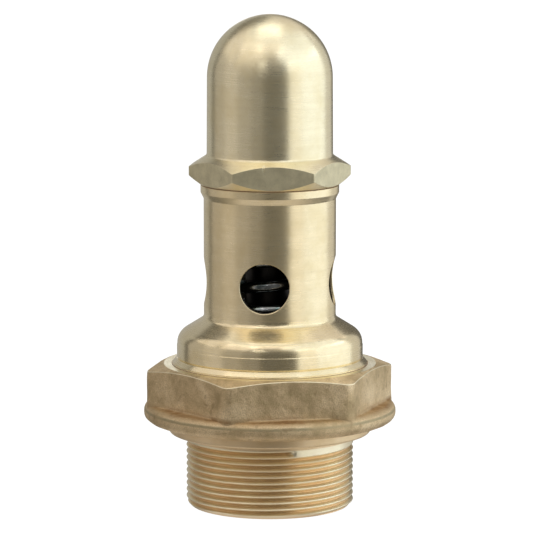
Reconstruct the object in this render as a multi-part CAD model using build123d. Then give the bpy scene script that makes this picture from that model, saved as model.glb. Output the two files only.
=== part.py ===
from build123d import *
import os
from math import cos, pi, radians, sin, tan

# A spring-loaded pressure relief valve, in millimetres.
# +Z runs up the valve's axis. The origin is on that axis, at the lower end of the inlet thread.
# Four round ports look out along +X, -X, +Y and -Y.

# ---------------------------------------------------------------- driving dimensions

# Inlet thread, G 2
THREAD_R = 29.807
THREAD_PITCH = 2.309
THREAD_DEPTH = 1.479
THREAD_START_Z = 1.5
THREAD_RINGS = 9
CREST_LAND = 0.35
ROOT_LAND = 0.3
ENTRY_R = 28.3

# Inlet body
BORE_R = 22.0
BOSS_R = 36.0
BOSS_Z = 26.3
BOSS_EDGE = 0.8
FLANGE_R = 44.9
FLANGE_Z = 30.6
FLANGE_TOP_Z = 36.9
FLANGE_ROUND = 2.8
BODY_AF = 78.0
BODY_CORNER_R = 4.5
BODY_HEX_TURN = 15.0
BODY_TOP_Z = 50.9
BODY_FLAT_R = 37.8
BODY_CHAMFER_DEG = 17.0
BODY_DRAFT_DEG = 0.8
SEAT_POCKET_R = 26.0
SEAT_LEDGE_Z = 28.0
CHAMBER_R = 28.4
CHAMBER_Z = 37.0
HOUSING_THREAD_R = 29.1
HOUSING_THREAD_Z = 38.5
GASKET_FLOOR_Z = 50.5
GASKET_RECESS_R = 35.0

# Seat
SEAT_GASKET_T = 1.0
SEAT_OPENING_R = 19.0
SEAT_LIP_W = 1.5
SEAT_Z = 38.0
SEAT_SHOULDER_Z = 36.0
SEAT_LIP_SPREAD = 1.5
SEAT_GASKET_GAP = 0.3

# Valve disc group
LIFT = 7.0
DISC_R = 23.5
SEAL_R = 22.0
SEAL_HOLE_R = 11.5
SEAL_T = 3.0
DISC_RIM_Z = 38.8
DISC_T = 5.0
DISC_HUB_R = 8.5
DISC_HUB_TOP_Z = 52.0
DISC_HUB_FILLET = 1.5
SOCKET_R = 4.1
RETAINER_R = 14.0
RETAINER_T = 1.5
SCREW_R = 2.5
SCREW_GAP = 0.1
SCREW_HEAD_AF = 8.0
SCREW_HEAD_T = 3.5
SCREW_END_Z = 43.4
SCREW_HOLE_Z = 43.9
BALL_R = 2.5
BALL_Z = 47.5
PIT_HALF_DEG = 60.0
SNAP_Z = 50.6
SNAP_T = 0.8
SNAP_R = 4.9
SNAP_INNER_R = 3.4

# Spindle
SPINDLE_R = 4.0
SPINDLE_Z = 49.0
SPINDLE_TOP_Z = 149.0
RUNNING_GAP = 0.06
CLEARANCE = 0.6
PLATE_RING_Z = 62.4
PLATE_RING_R = 6.5
PLATE_RING_INNER_R = 3.5

# Spindle guide
GUIDE_Z = 57.0
GUIDE_T = 3.0
GUIDE_RIM_W = 3.5
GUIDE_HUB_R = 8.0
GUIDE_HUB_TOP_Z = 62.2
GUIDE_ARM_W = 4.0
GUIDE_ARMS = 4
GUIDE_ARM_DEG = 45.0
STOP_GAP = 0.1

# Spring
SPRING_MEAN_R = 14.5
WIRE_D = 4.2
SPRING_Z = 66.5
SPRING_TOP_Z = 104.0
SPRING_PITCH = 8.8
END_COIL_PITCH = 4.25
SPRING_START_DEG = -72.0
GROUND_SHARE = 0.3

# Spring plates
PLATE_R = 16.9
PLATE_T = 3.0
PILOT_R = 12.2
PILOT_H = 2.5
SPRING_GUIDE_R = 9.0
SPRING_GUIDE_TOP_Z = 91.0
UPPER_PLATE_T = 4.0
WASHER_R = 8.5
WASHER_T = 2.0

# Spring housing
SPIGOT_R = 29.0
SPIGOT_Z = 40.0
SPIGOT_BORE_R = 27.2
FOOT_Z = 51.0
FOOT_R = 35.4
FOOT_EDGE = 0.25
BELL_Z = 53.05
BELL_R = 33.1
BELL_WAIST_Z = 57.6
WAIST_H = 0.3
BELL_TOP_R = 32.95
SHOULDER_CORNER_Z = 61.5
SHOULDER_ROUND = 5.6
SHOULDER_SLOPE_DEG = 32.0
TUBE_R = 23.45
TUBE_FILLET = 2.2
TUBE_BORE_R = 20.5
BELL_BORE_Z = 60.0
BELL_BORE_LEDGE_R = 26.2
TUBE_BORE_Z = 64.2
PORT_R = 8.75
PORT_Z = 80.7
PORT_COUNT = 4
COLLAR_R = 24.55
COLLAR_Z = 112.2
COVE_Z = 110.0
WEB_Z = 112.0
WEB_FILLET = 1.5
COLLAR_TOP_Z = 114.8
NECK_R = 19.45
NECK_TOP_Z = 124.0
NECK_RELIEF_R = 18.8
NECK_RELIEF_H = 1.5
ADJUST_HOLE_R = 9.0

# Adjusting screw and its lock
ADJUST_R = 8.94
ADJUST_THREAD_TOP_Z = 138.0
ADJUST_TOP_Z = 145.0
ADJUST_HEX_AF = 14.0
LOCK_WASHER_R = 15.5
LOCK_WASHER_T = 1.6
LOCKNUT_AF = 27.0
LOCKNUT_T = 9.0
LOCKNUT_EDGE = 0.9

# Cap
CAP_GASKET_T = 0.4
CAP_GASKET_R = 24.1
CAP_GASKET_GAP = 0.2
CAP_AF = 50.0
CAP_HEX_TURN = 7.7
CAP_FACE_R = 24.8
CAP_CORNER_R = 28.7
CAP_CHAMFER_Z = 118.2
CAP_CONE_Z = 121.3
CAP_CONE_TOP_Z = 125.2
CAP_CONE_TOP_R = 22.6
CAP_CONE_EDGE = 0.3
CAP_R = 22.35
CAP_DOME_R = 22.2
CAP_DOME_Z = 152.8
CAP_WALL = 3.0
CAP_THREAD_R = 19.55
CAP_THREAD_TOP_Z = 125.5

# Gasket of the body
BODY_GASKET_R = 34.8
BODY_GASKET_INNER_R = 30.2

# Edges and chamfers shared by several pieces
FINE_EDGE = 0.4
SMALL_EDGE = 0.5
SOFT_EDGE = 0.6
BROAD_EDGE = 0.8
END_CHAMFER = 1.0

HEX_SIDES = 6
OVERLAP = 1.0
WIDE = 200.0


# ---------------------------------------------------------------- helpers


def turned(corners):
    """Solid of revolution about Z, from a closed outline of (radius, height[, rounding]) corners."""
    points = [Vector(corner[0], 0, corner[1]) for corner in corners]
    arcs = []
    for i, corner in enumerate(corners):
        here = points[i]
        rounding = corner[2] if len(corner) > 2 else 0
        if not rounding:
            arcs.append((here, None, here))
            continue
        back = (points[i - 1] - here).normalized()
        ahead = (points[(i + 1) % len(points)] - here).normalized()
        half = radians(back.get_angle(ahead)) / 2
        inward = (back + ahead).normalized()
        trim = rounding / tan(half)
        middle = here + inward * (rounding / sin(half) - rounding)
        arcs.append((here + back * trim, middle, here + ahead * trim))
    edges = []
    for i, (start, middle, end) in enumerate(arcs):
        if middle is not None:
            edges.append(ThreePointArc(start, middle, end))
        following = arcs[(i + 1) % len(arcs)][0]
        if (following - end).length > 1e-6:
            edges.append(Line(end, following))
    return revolve(make_face(edges), Axis.Z)


def ring(inner_r, outer_r, low_z, high_z, edge=0.0):
    """Flat ring about Z, with an equal chamfer on its outer edges."""
    if not edge:
        return turned([(inner_r, low_z), (outer_r, low_z), (outer_r, high_z), (inner_r, high_z)])
    return turned(
        [
            (inner_r, low_z),
            (outer_r - edge, low_z),
            (outer_r, low_z + edge),
            (outer_r, high_z - edge),
            (outer_r - edge, high_z),
            (inner_r, high_z),
        ]
    )


def hex_corner(across_flats):
    """Distance from a hexagon's middle to its corners."""
    return across_flats / 2 / cos(pi / HEX_SIDES)


def hexagon(across_flats, turn_deg, corner_r=0.0):
    """Hexagonal face with the normal of one flat turned from -Y towards +X by turn_deg."""
    face = RegularPolygon(radius=hex_corner(across_flats), side_count=HEX_SIDES, rotation=turn_deg)
    if corner_r:
        face = fillet(face.vertices(), corner_r)
    return face


def hex_prism(across_flats, turn_deg, low_z, high_z, corner_r=0.0, taper=0.0):
    """Upright hexagonal prism."""
    face = hexagon(across_flats, turn_deg, corner_r)
    return Pos(0, 0, low_z) * extrude(face, amount=high_z - low_z, taper=taper)


def save(node, solid):
    """Write one piece under its node name."""
    export_step(solid, f"parts/{node}.step")


# ---------------------------------------------------------------- inlet body and seat


def thread_corners():
    """Outline of the inlet thread from its entry up, as ring grooves with flat crests and roots."""
    flank = (THREAD_PITCH - CREST_LAND - ROOT_LAND) / 2
    root_r = THREAD_R - THREAD_DEPTH
    corners = [(ENTRY_R, 0.0), (THREAD_R, THREAD_START_Z)]
    for i in range(THREAD_RINGS):
        crest_end_z = THREAD_START_Z + CREST_LAND + i * THREAD_PITCH
        corners += [
            (THREAD_R, crest_end_z),
            (root_r, crest_end_z + flank),
            (root_r, crest_end_z + flank + ROOT_LAND),
            (THREAD_R, crest_end_z + 2 * flank + ROOT_LAND),
        ]
    return corners


def inlet_body():
    lower = turned(
        [(BORE_R, 0.0)]
        + thread_corners()
        + [
            (THREAD_R, BOSS_Z),
            (BOSS_R, BOSS_Z, BOSS_EDGE),
            (BOSS_R, FLANGE_Z),
            (FLANGE_R, FLANGE_Z, FLANGE_ROUND),
            (FLANGE_R, FLANGE_TOP_Z, FLANGE_ROUND),
            (BORE_R, FLANGE_TOP_Z),
        ]
    )
    corner_r = hex_corner(BODY_AF)
    drop = (corner_r - BODY_FLAT_R) * tan(radians(BODY_CHAMFER_DEG))
    envelope = turned(
        [
            (0.0, FLANGE_Z),
            (corner_r, FLANGE_Z),
            (corner_r, BODY_TOP_Z - drop),
            (BODY_FLAT_R, BODY_TOP_Z),
            (0.0, BODY_TOP_Z),
        ]
    )
    spanner_hex = hex_prism(
        BODY_AF, BODY_HEX_TURN, FLANGE_Z + FLANGE_ROUND, BODY_TOP_Z, BODY_CORNER_R, BODY_DRAFT_DEG
    )
    bore = turned(
        [
            (0.0, -OVERLAP),
            (BORE_R, -OVERLAP),
            (BORE_R, SEAT_LEDGE_Z),
            (SEAT_POCKET_R, SEAT_LEDGE_Z),
            (SEAT_POCKET_R, CHAMBER_Z),
            (CHAMBER_R, CHAMBER_Z),
            (CHAMBER_R, HOUSING_THREAD_Z),
            (HOUSING_THREAD_R, HOUSING_THREAD_Z + HOUSING_THREAD_R - CHAMBER_R),
            (HOUSING_THREAD_R, GASKET_FLOOR_Z),
            (GASKET_RECESS_R, GASKET_FLOOR_Z),
            (GASKET_RECESS_R, BODY_TOP_Z + OVERLAP),
            (0.0, BODY_TOP_Z + OVERLAP),
        ]
    )
    return lower + (spanner_hex & envelope) - bore


def seat_ring():
    return turned(
        [
            (SEAT_OPENING_R, SEAT_LEDGE_Z + SEAT_GASKET_T, SOFT_EDGE),
            (SEAT_POCKET_R, SEAT_LEDGE_Z + SEAT_GASKET_T),
            (SEAT_POCKET_R, SEAT_SHOULDER_Z),
            (SEAT_OPENING_R + SEAT_LIP_W + SEAT_LIP_SPREAD, SEAT_SHOULDER_Z, SMALL_EDGE),
            (SEAT_OPENING_R + SEAT_LIP_W, SEAT_Z),
            (SEAT_OPENING_R, SEAT_Z),
        ]
    )


def seat_gasket():
    return ring(BORE_R + SEAT_GASKET_GAP, SEAT_POCKET_R, SEAT_LEDGE_Z, SEAT_LEDGE_Z + SEAT_GASKET_T)


# ---------------------------------------------------------------- valve disc group

SEAL_TOP_Z = SEAT_Z + SEAL_T
DISC_TOP_Z = SEAL_TOP_Z + DISC_T
PIT_RISE = BALL_R / sin(radians(PIT_HALF_DEG))


def valve_disc():
    pit_apex_z = BALL_Z - PIT_RISE
    socket_cone_z = pit_apex_z + SOCKET_R / tan(radians(PIT_HALF_DEG))
    return turned(
        [
            (0.0, SCREW_HOLE_Z),
            (SCREW_R, SCREW_HOLE_Z),
            (SCREW_R, SEAL_TOP_Z),
            (SEAL_R, SEAL_TOP_Z),
            (SEAL_R, DISC_RIM_Z),
            (DISC_R, DISC_RIM_Z),
            (DISC_R, DISC_TOP_Z, END_CHAMFER),
            (DISC_HUB_R, DISC_TOP_Z, DISC_HUB_FILLET),
            (DISC_HUB_R, DISC_HUB_TOP_Z, BROAD_EDGE),
            (SOCKET_R, DISC_HUB_TOP_Z),
            (SOCKET_R, SNAP_Z + SNAP_T),
            (SNAP_R, SNAP_Z + SNAP_T),
            (SNAP_R, SNAP_Z),
            (SOCKET_R, SNAP_Z),
            (SOCKET_R, socket_cone_z),
            (0.0, pit_apex_z),
        ]
    )


def disc_seal():
    return ring(SEAL_HOLE_R, SEAL_R, SEAT_Z, SEAL_TOP_Z)


def seal_retainer():
    return turned(
        [
            (SCREW_R + SCREW_GAP, SEAT_Z - RETAINER_T),
            (RETAINER_R, SEAT_Z - RETAINER_T, SOFT_EDGE),
            (RETAINER_R, SEAT_Z),
            (SEAL_HOLE_R, SEAT_Z),
            (SEAL_HOLE_R, SEAL_TOP_Z),
            (SCREW_R + SCREW_GAP, SEAL_TOP_Z),
        ]
    )


def retainer_screw():
    head_top_z = SEAT_Z - RETAINER_T
    head = hex_prism(SCREW_HEAD_AF, 0.0, head_top_z - SCREW_HEAD_T, head_top_z)
    shank = turned(
        [
            (0.0, head_top_z - OVERLAP),
            (SCREW_R, head_top_z - OVERLAP),
            (SCREW_R, SCREW_END_Z - SMALL_EDGE),
            (SCREW_R - SMALL_EDGE, SCREW_END_Z),
            (0.0, SCREW_END_Z),
        ]
    )
    return head + shank


def thrust_ball():
    return Pos(0, 0, BALL_Z) * Sphere(BALL_R)


def disc_snap_ring():
    return ring(SNAP_INNER_R, SNAP_R, SNAP_Z, SNAP_Z + SNAP_T)


def spindle():
    pit_apex_z = BALL_Z + PIT_RISE
    pit_r = (pit_apex_z - SPINDLE_Z) * tan(radians(PIT_HALF_DEG))
    corners = [(0.0, pit_apex_z), (pit_r, SPINDLE_Z), (SPINDLE_R, SPINDLE_Z)]
    grooves = [
        (SNAP_Z, SNAP_T, SNAP_INNER_R),
        (PLATE_RING_Z, SPRING_Z - PLATE_T - PLATE_RING_Z, PLATE_RING_INNER_R),
    ]
    for low_z, width, groove_r in grooves:
        corners += [
            (SPINDLE_R, low_z),
            (groove_r, low_z),
            (groove_r, low_z + width),
            (SPINDLE_R, low_z + width),
        ]
    corners += [
        (SPINDLE_R, SPINDLE_TOP_Z - END_CHAMFER),
        (SPINDLE_R - END_CHAMFER, SPINDLE_TOP_Z),
        (0.0, SPINDLE_TOP_Z),
    ]
    return turned(corners)


def plate_ring():
    return ring(PLATE_RING_INNER_R, PLATE_RING_R, PLATE_RING_Z, SPRING_Z - PLATE_T)


def lower_spring_plate():
    return turned(
        [
            (SPINDLE_R, SPRING_Z - PLATE_T),
            (PLATE_R, SPRING_Z - PLATE_T, SOFT_EDGE),
            (PLATE_R, SPRING_Z, FINE_EDGE),
            (PILOT_R, SPRING_Z),
            (PILOT_R, SPRING_Z + PILOT_H, BROAD_EDGE),
            (SPRING_GUIDE_R, SPRING_Z + PILOT_H, SOFT_EDGE),
            (SPRING_GUIDE_R, SPRING_GUIDE_TOP_Z, BROAD_EDGE),
            (SPINDLE_R, SPRING_GUIDE_TOP_Z),
        ]
    )


# ---------------------------------------------------------------- spring housing and its fittings


def spring_housing():
    slope = tan(radians(SHOULDER_SLOPE_DEG))
    shoulder_foot_z = SHOULDER_CORNER_Z + (BELL_TOP_R - TUBE_R) * slope
    shell = turned(
        [
            (SPIGOT_BORE_R, SPIGOT_Z),
            (SPIGOT_R - END_CHAMFER, SPIGOT_Z),
            (SPIGOT_R, SPIGOT_Z + END_CHAMFER),
            (SPIGOT_R, FOOT_Z),
            (FOOT_R, FOOT_Z, FOOT_EDGE),
            (BELL_R, BELL_Z),
            (BELL_R, BELL_WAIST_Z),
            (BELL_TOP_R, BELL_WAIST_Z + WAIST_H),
            (BELL_TOP_R, SHOULDER_CORNER_Z, SHOULDER_ROUND),
            (TUBE_R, shoulder_foot_z, TUBE_FILLET),
            (TUBE_R, COVE_Z),
            (COLLAR_R, COLLAR_Z, SOFT_EDGE),
            (COLLAR_R, COLLAR_TOP_Z),
            (NECK_RELIEF_R, COLLAR_TOP_Z),
            (NECK_RELIEF_R, COLLAR_TOP_Z + NECK_RELIEF_H),
            (NECK_R, COLLAR_TOP_Z + NECK_RELIEF_H + NECK_R - NECK_RELIEF_R),
            (NECK_R, NECK_TOP_Z - END_CHAMFER),
            (NECK_R - END_CHAMFER, NECK_TOP_Z),
            (ADJUST_HOLE_R, NECK_TOP_Z),
            (ADJUST_HOLE_R, WEB_Z),
            (TUBE_BORE_R, WEB_Z, WEB_FILLET),
            (TUBE_BORE_R, TUBE_BORE_Z),
            (BELL_BORE_LEDGE_R, BELL_BORE_Z),
            (SPIGOT_BORE_R, BELL_BORE_Z),
        ]
    )
    for i in range(PORT_COUNT):
        drill = Cylinder(PORT_R, COLLAR_R, align=(Align.CENTER, Align.CENTER, Align.MIN))
        shell -= Pos(0, 0, PORT_Z) * Rot(0, 0, 360 / PORT_COUNT * i) * Rot(0, 90, 0) * drill
    return shell


def spindle_guide():
    rim_r = SPIGOT_BORE_R - GUIDE_RIM_W
    bore_r = SPINDLE_R + RUNNING_GAP
    hub_z = DISC_HUB_TOP_Z + LIFT + STOP_GAP
    guide = ring(rim_r, SPIGOT_BORE_R, GUIDE_Z, GUIDE_Z + GUIDE_T)
    guide += ring(bore_r, GUIDE_HUB_R, hub_z, GUIDE_HUB_TOP_Z)
    arm = Box(
        rim_r - bore_r,
        GUIDE_ARM_W,
        GUIDE_Z + GUIDE_T - hub_z,
        align=(Align.MIN, Align.CENTER, Align.MIN),
    )
    for i in range(GUIDE_ARMS):
        guide += Rot(0, 0, GUIDE_ARM_DEG + 360 / GUIDE_ARMS * i) * Pos(bore_r + OVERLAP, 0, hub_z) * arm
    return guide


def helix_coil(pitch, turns, start_z, start_deg):
    """Length of round wire wound on the spring's mean radius, starting at start_deg about Z."""
    path = Helix(pitch=pitch, height=pitch * turns, radius=SPRING_MEAN_R)
    section = Plane(origin=path @ 0, z_dir=path % 0) * Circle(WIRE_D / 2)
    coil = sweep(section, path=path, is_frenet=True)
    return Pos(0, 0, start_z) * Rot(0, 0, start_deg) * coil


def spring():
    """Right-hand spring with one close coil at each end, ground flat where it meets the plates."""
    low_z = SPRING_Z + WIRE_D * GROUND_SHARE
    high_z = SPRING_TOP_Z - WIRE_D * GROUND_SHARE
    active_h = high_z - low_z - 2 * END_COIL_PITCH
    active_turns = active_h / SPRING_PITCH
    coils = [
        (END_COIL_PITCH, 1.0, low_z, SPRING_START_DEG),
        (SPRING_PITCH, active_turns, low_z + END_COIL_PITCH, SPRING_START_DEG),
        (END_COIL_PITCH, 1.0, high_z - END_COIL_PITCH, SPRING_START_DEG + 360 * active_turns),
    ]
    wire = None
    for coil in coils:
        piece = helix_coil(*coil)
        wire = piece if wire is None else wire + piece
    slab = Pos(0, 0, (SPRING_Z + SPRING_TOP_Z) / 2) * Box(WIDE, WIDE, SPRING_TOP_Z - SPRING_Z)
    return wire & slab


def upper_spring_plate():
    bore_r = SPINDLE_R + CLEARANCE
    return turned(
        [
            (bore_r, SPRING_TOP_Z - PILOT_H),
            (PILOT_R, SPRING_TOP_Z - PILOT_H, BROAD_EDGE),
            (PILOT_R, SPRING_TOP_Z),
            (PLATE_R, SPRING_TOP_Z, FINE_EDGE),
            (PLATE_R, SPRING_TOP_Z + UPPER_PLATE_T, BROAD_EDGE),
            (bore_r, SPRING_TOP_Z + UPPER_PLATE_T),
        ]
    )


def thrust_washer():
    low_z = SPRING_TOP_Z + UPPER_PLATE_T
    return ring(SPINDLE_R + CLEARANCE, WASHER_R, low_z, low_z + WASHER_T)


def adjusting_screw():
    low_z = SPRING_TOP_Z + UPPER_PLATE_T + WASHER_T
    bore_r = SPINDLE_R + RUNNING_GAP
    threaded = turned(
        [
            (bore_r, low_z),
            (ADJUST_R - END_CHAMFER, low_z),
            (ADJUST_R, low_z + END_CHAMFER),
            (ADJUST_R, ADJUST_THREAD_TOP_Z - BROAD_EDGE),
            (ADJUST_R - BROAD_EDGE, ADJUST_THREAD_TOP_Z),
            (bore_r, ADJUST_THREAD_TOP_Z),
        ]
    )
    head_z = ADJUST_THREAD_TOP_Z - BROAD_EDGE
    envelope = ring(bore_r, hex_corner(ADJUST_HEX_AF), head_z, ADJUST_TOP_Z, BROAD_EDGE)
    head = hex_prism(ADJUST_HEX_AF, 0.0, head_z, ADJUST_TOP_Z)
    return threaded + (head & envelope)


def lock_washer():
    return ring(ADJUST_HOLE_R, LOCK_WASHER_R, NECK_TOP_Z, NECK_TOP_Z + LOCK_WASHER_T)


def locknut():
    low_z = NECK_TOP_Z + LOCK_WASHER_T
    envelope = ring(ADJUST_HOLE_R, hex_corner(LOCKNUT_AF), low_z, low_z + LOCKNUT_T, LOCKNUT_EDGE)
    return hex_prism(LOCKNUT_AF, CAP_HEX_TURN, low_z, low_z + LOCKNUT_T) & envelope


# ---------------------------------------------------------------- cap and gaskets


def cap():
    low_z = COLLAR_TOP_Z + CAP_GASKET_T
    top_z = CAP_DOME_Z + CAP_DOME_R
    inner_r = CAP_DOME_R - CAP_WALL
    outside = turned(
        [
            (0.0, low_z),
            (CAP_FACE_R, low_z),
            (CAP_CORNER_R, CAP_CHAMFER_Z),
            (CAP_CORNER_R, CAP_CONE_Z),
            (CAP_CONE_TOP_R, CAP_CONE_TOP_Z, CAP_CONE_EDGE),
            (CAP_R, CAP_CONE_TOP_Z),
            (CAP_DOME_R, CAP_DOME_Z),
            (CAP_DOME_R, top_z, CAP_DOME_R),
            (0.0, top_z),
        ]
    )
    inside = turned(
        [
            (0.0, low_z - OVERLAP),
            (CAP_THREAD_R + SOFT_EDGE, low_z - OVERLAP),
            (CAP_THREAD_R + SOFT_EDGE, low_z),
            (CAP_THREAD_R, low_z + SOFT_EDGE),
            (CAP_THREAD_R, CAP_THREAD_TOP_Z),
            (inner_r, CAP_THREAD_TOP_Z + CAP_THREAD_R - inner_r),
            (inner_r, CAP_DOME_Z),
            (inner_r, top_z - CAP_WALL, inner_r),
            (0.0, top_z - CAP_WALL),
        ]
    )
    flats = hex_prism(CAP_AF, CAP_HEX_TURN, low_z, top_z)
    return (outside & flats) - inside


def body_gasket():
    return ring(BODY_GASKET_INNER_R, BODY_GASKET_R, GASKET_FLOOR_Z, FOOT_Z)


def cap_gasket():
    return ring(NECK_R + CAP_GASKET_GAP, CAP_GASKET_R, COLLAR_TOP_Z, COLLAR_TOP_Z + CAP_GASKET_T)


PIECES = [
    inlet_body,
    seat_ring,
    seat_gasket,
    body_gasket,
    valve_disc,
    disc_seal,
    seal_retainer,
    retainer_screw,
    thrust_ball,
    disc_snap_ring,
    spindle,
    plate_ring,
    lower_spring_plate,
    spindle_guide,
    spring_housing,
    spring,
    upper_spring_plate,
    thrust_washer,
    adjusting_screw,
    lock_washer,
    locknut,
    cap_gasket,
    cap,
]

os.makedirs("parts", exist_ok=True)
for piece in PIECES:
    save(piece.__name__, piece())
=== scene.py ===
"""Looks of a brass spring-loaded pressure relief valve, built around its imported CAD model."""

import math

import bmesh
import bpy
import numpy as np
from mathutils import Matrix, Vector, noise


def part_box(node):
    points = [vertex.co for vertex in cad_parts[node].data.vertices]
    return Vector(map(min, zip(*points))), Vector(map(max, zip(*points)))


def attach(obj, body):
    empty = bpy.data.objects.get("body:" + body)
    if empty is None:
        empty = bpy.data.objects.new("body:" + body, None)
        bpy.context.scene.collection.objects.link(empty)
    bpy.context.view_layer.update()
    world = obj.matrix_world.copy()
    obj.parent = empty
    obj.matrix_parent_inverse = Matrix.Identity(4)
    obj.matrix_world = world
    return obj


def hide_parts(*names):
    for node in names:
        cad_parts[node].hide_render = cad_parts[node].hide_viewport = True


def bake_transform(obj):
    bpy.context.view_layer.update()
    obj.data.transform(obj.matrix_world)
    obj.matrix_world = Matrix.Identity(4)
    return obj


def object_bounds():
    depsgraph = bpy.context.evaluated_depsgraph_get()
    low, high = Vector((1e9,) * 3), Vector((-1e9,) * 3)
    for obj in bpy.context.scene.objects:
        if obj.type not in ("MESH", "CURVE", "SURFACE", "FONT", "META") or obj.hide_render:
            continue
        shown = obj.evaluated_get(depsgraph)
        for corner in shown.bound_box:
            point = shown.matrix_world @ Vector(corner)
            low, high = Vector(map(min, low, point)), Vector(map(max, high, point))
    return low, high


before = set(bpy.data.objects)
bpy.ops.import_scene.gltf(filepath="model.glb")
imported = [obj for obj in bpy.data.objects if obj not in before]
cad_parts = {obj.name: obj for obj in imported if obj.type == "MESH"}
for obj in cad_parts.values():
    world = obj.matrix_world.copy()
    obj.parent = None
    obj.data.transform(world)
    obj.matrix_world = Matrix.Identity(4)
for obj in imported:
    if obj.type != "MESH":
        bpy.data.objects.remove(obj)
CAD_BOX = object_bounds()

# ---------------------------------------------------------------- units and places
# Outlines are in millimetres, as (radius, height) pairs in the CAD frame. Meshes are made in metres.

MM = 0.001


def low(node):
    """Height of the lowest point of a CAD node, in millimetres."""
    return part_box(node)[0].z / MM


def high(node):
    """Height of the highest point of a CAD node, in millimetres."""
    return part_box(node)[1].z / MM


def reach(node):
    """Largest radius of a round CAD node, in millimetres."""
    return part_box(node)[1].x / MM


BODY_TOP_Z = high("inlet_body")
FLANGE_R = reach("inlet_body")
FOOT_Z = high("body_gasket")
SPIGOT_Z = low("spring_housing")
GASKET_FLOOR_Z = low("body_gasket")
NECK_TOP_Z = high("spring_housing")
COLLAR_TOP_Z = low("cap_gasket")
CAP_Z = low("cap")
CAP_TOP_Z = high("cap")
SPRING_Z = low("spring")
SPRING_TOP_Z = high("spring")
SPRING_R = reach("spring")

# Inlet body
THREAD_R = 29.807
THREAD_DEPTH = 1.479
THREAD_PITCH = 2.309
THREAD_ENTRY_R = 28.3
RUNOUT_DEG = -66.4
RUNOUT_Z = 23.2
RUNOUT_FADE_DEG = 7.0
THREAD_TOP_Z = 24.4
BORE_R = 22.0
BORE_ENTRY = 0.6
BOSS_R = 36.0
BOSS_Z = 26.3
FLANGE_Z = 30.6
FLANGE_TOP_Z = 36.9
FLANGE_ROUND = 2.8
PARTING_Z = 34.9
BODY_FLAT = 39.0
BODY_HEX_DEG = 15.0
BODY_CORNER_ROUND = 4.5
BODY_FLAT_RING_R = 37.8
BODY_CHAMFER_DEG = 17.0
BODY_DRAFT_DEG = 0.8
BODY_EDGE_DROP = 3.6
GASKET_RECESS_R = 35.0
HOUSING_THREAD_R = 29.1
HOUSING_THREAD_MOUTH = 0.5
HOUSING_THREAD_Z = 39.2
CHAMBER_R = 28.4
CHAMBER_Z = 37.0
CHAMBER_TOP_Z = 38.5
SEAT_POCKET_R = 26.0
SEAT_LEDGE_Z = 28.0

# Spring housing
SPIGOT_R = 29.0
SPIGOT_EDGE = 1.0
GUIDE_SEAT_R = 27.2
GUIDE_SEAT_Z = 60.0
FUNNEL_R = 26.2
FUNNEL_TOP_Z = 64.2
FOOT_R = 35.4
FOOT_TOP_Z = 53.0
FOOT_GROOVE = 0.3
FOOT_GROOVE_Z = 53.1
FOOT_GROOVE_TOP_Z = 53.6
BELL_R = 33.1
BELL_LINE_Z = 57.6
BELL_TOP_R = 32.95
BELL_LINE_TOP_Z = 57.9
BELL_TOP_Z = 61.5
BELL_ROUND = 5.6
SHOULDER_DEG = 32
SHOULDER_BEND_R = 26.6
SHOULDER_FILLET = 2.2
SHOULDER_TOP_Z = 69.0
TUBE_R = 23.45
TUBE_BORE_R = 20.5
PORT_R = 8.75
PORT_Z = 80.7
PORT_EDGE = 0.28
PORT_BAND = 11.4
COLLAR_R = 24.55
COLLAR_Z = 112.2
COLLAR_CONE_Z = 110.0
CEILING_Z = 112.0
RELIEF_R = 18.8
RELIEF_H = 1.5
ADJUST_HOLE_R = 9.0
ADJUST_HOLE_EDGE = 0.6
NECK_R = 19.45
NECK_LEAD = 0.7
NECK_PITCH = 1.5
NECK_DEPTH = 0.85

# Cap
CAP_FLAT = 25.0
CAP_HEX_DEG = 7.7
CAP_CORNER_R = 28.7
CAP_R = 22.35
CAP_DOME_R = 22.2
CAP_WALL = 3.0
CAP_FOOT_R = 24.8
CAP_LOWER_CORNER_Z = 118.2
CAP_UPPER_CORNER_Z = 121.3
CAP_CONE_R = 22.6
CAP_CONE_Z = 125.2
CAP_FILLET = 1.2
CAP_FILLET_Z = 125.35
CAP_THREAD_R = 19.55
CAP_THREAD_ENTRY = 0.55
CAP_THREAD_TOP_Z = 125.5
CAP_HOLLOW_Z = 125.85
NICK_DEG = -7.5
NICK_Z = 123.55
NICK_R = 0.75
NICK_DEPTH = 0.32

# Spring
WIRE_R = 2.1
END_MIDDLE = 0.6 * WIRE_R
END_PITCH = 4.25
SPRING_PITCH = 8.8
SPRING_START_DEG = -72.0
SPRING_STILL_Z = 90.0

# Camera: it stands a little to the right of the front port and above it
VIEW_DEG = 5.0
VIEW_DISTANCE = 1.180
VIEW_HEIGHT = 0.25764
VIEW_PITCH_DEG = 8.306
VIEW_LENS = 226.8
VIEW_ASIDE = -0.00118

# Lamps, and the white room round everything, in metres
LAMP_DISTANCE = 1.0
STAGE_HALF = 7.0

COLUMNS = 720
HOUSING_COLUMNS = 480
ARC_STEPS = 6
SHARP_DEG = 24.0


# ---------------------------------------------------------------- outlines


def rounded(corners, steps=ARC_STEPS):
    """Points of an outline, from its corners.

    A corner is (radius, height), then maybe its rounding and the divisions of the run that follows."""
    full = [(list(c) + [0.0, 1])[:4] if len(c) == 2 else (list(c) + [1])[:4] for c in corners]
    points = []
    for i, (r, z, rounding, _) in enumerate(full):
        here = np.array((r, z))
        run = []
        if rounding and 0 < i < len(full) - 1:
            back = np.array(full[i - 1][:2]) - here
            ahead = np.array(full[i + 1][:2]) - here
            run = corner_arc(here, back, ahead, rounding, steps)
        if not run:
            run = [here] * (steps + 1 if rounding else 1)
        if points:
            divisions = full[i - 1][3]
            start = points[-1]
            points += [start + (run[0] - start) * k / divisions for k in range(1, divisions)]
        points += run
    return [(float(p[0]), float(p[1])) for p in points]


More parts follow.
